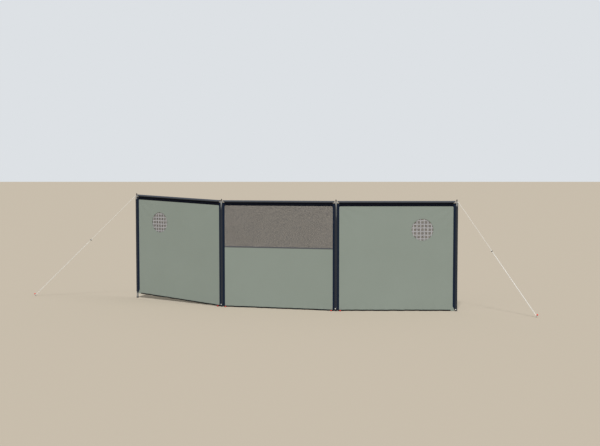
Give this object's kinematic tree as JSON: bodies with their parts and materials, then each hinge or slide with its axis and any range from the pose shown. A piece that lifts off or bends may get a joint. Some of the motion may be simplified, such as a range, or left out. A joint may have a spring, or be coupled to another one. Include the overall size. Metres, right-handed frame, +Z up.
{
  "type": "beach windbreak",
  "caption": "Free-standing cloth windbreak in bays on steel poles, with a see-through window, round vents, top rods, guy ropes and pegs.",
  "frame": {"origin": "on the ground, at the middle of the flat foot of the right inner pole", "axes": "+Z up; the front faces -Y; +X runs to the right along the right-hand bay"},
  "size_m": [6.6832, 1.8777, 1.471],
  "materials": {
    "pole_steel": "zinc-plated drawn tube, dull, with fine lengthwise marks",
    "pin_steel": "turned and zinc plated",
    "black_plastic": "moulded, slightly rough",
    "border_cloth": "coated polyester, dark navy, doubled and stitched",
    "hem_tape": "woven webbing",
    "panel_cloth": "plain-woven coated polyester, grey green",
    "window_net": "open black net that is seen through",
    "vent_tape": "pale woven tape",
    "guy_line": "braided polyester cord",
    "slider_plastic": "moulded",
    "cap_plastic": "soft moulded grey plastic",
    "peg_red": "moulded red",
    "peg_steel": "drawn wire"
  },
  "bodies": {
    "root": {"foot_peg_straps": "hem_tape", "foot_pegs": "peg_red", "foot_plugs": "black_plastic", "left_end_pole": "pole_steel", "left_end_pole_sleeve": "border_cloth", "left_end_top_pin": "pin_steel", "left_guy_peg": "peg_steel", "left_guy_peg_head": "peg_red", "left_guy_rope": "guy_line", "left_guy_slider": "slider_plastic", "left_hem": "hem_tape", "left_inner_pole": "pole_steel", "left_inner_pole_sleeve": "border_cloth", "left_inner_top_pin": "pin_steel", "left_panel": "panel_cloth", "left_top_rod": "pole_steel", "left_top_sleeve": "border_cloth", "left_vent": "vent_tape", "middle_hem": "hem_tape", "middle_panel": "panel_cloth", "middle_top_rod": "pole_steel", "middle_top_sleeve": "border_cloth", "pin_caps": "cap_plastic", "right_end_pole": "pole_steel", "right_end_pole_sleeve": "border_cloth", "right_end_top_pin": "pin_steel", "right_guy_peg": "peg_steel", "right_guy_peg_head": "peg_red", "right_guy_rope": "guy_line", "right_guy_slider": "slider_plastic", "right_hem": "hem_tape", "right_inner_pole": "pole_steel", "right_inner_pole_sleeve": "border_cloth", "right_inner_top_pin": "pin_steel", "right_panel": "panel_cloth", "right_top_rod": "pole_steel", "right_top_sleeve": "border_cloth", "right_vent": "vent_tape", "window_mesh": "window_net"}
  },
  "joints": []
}
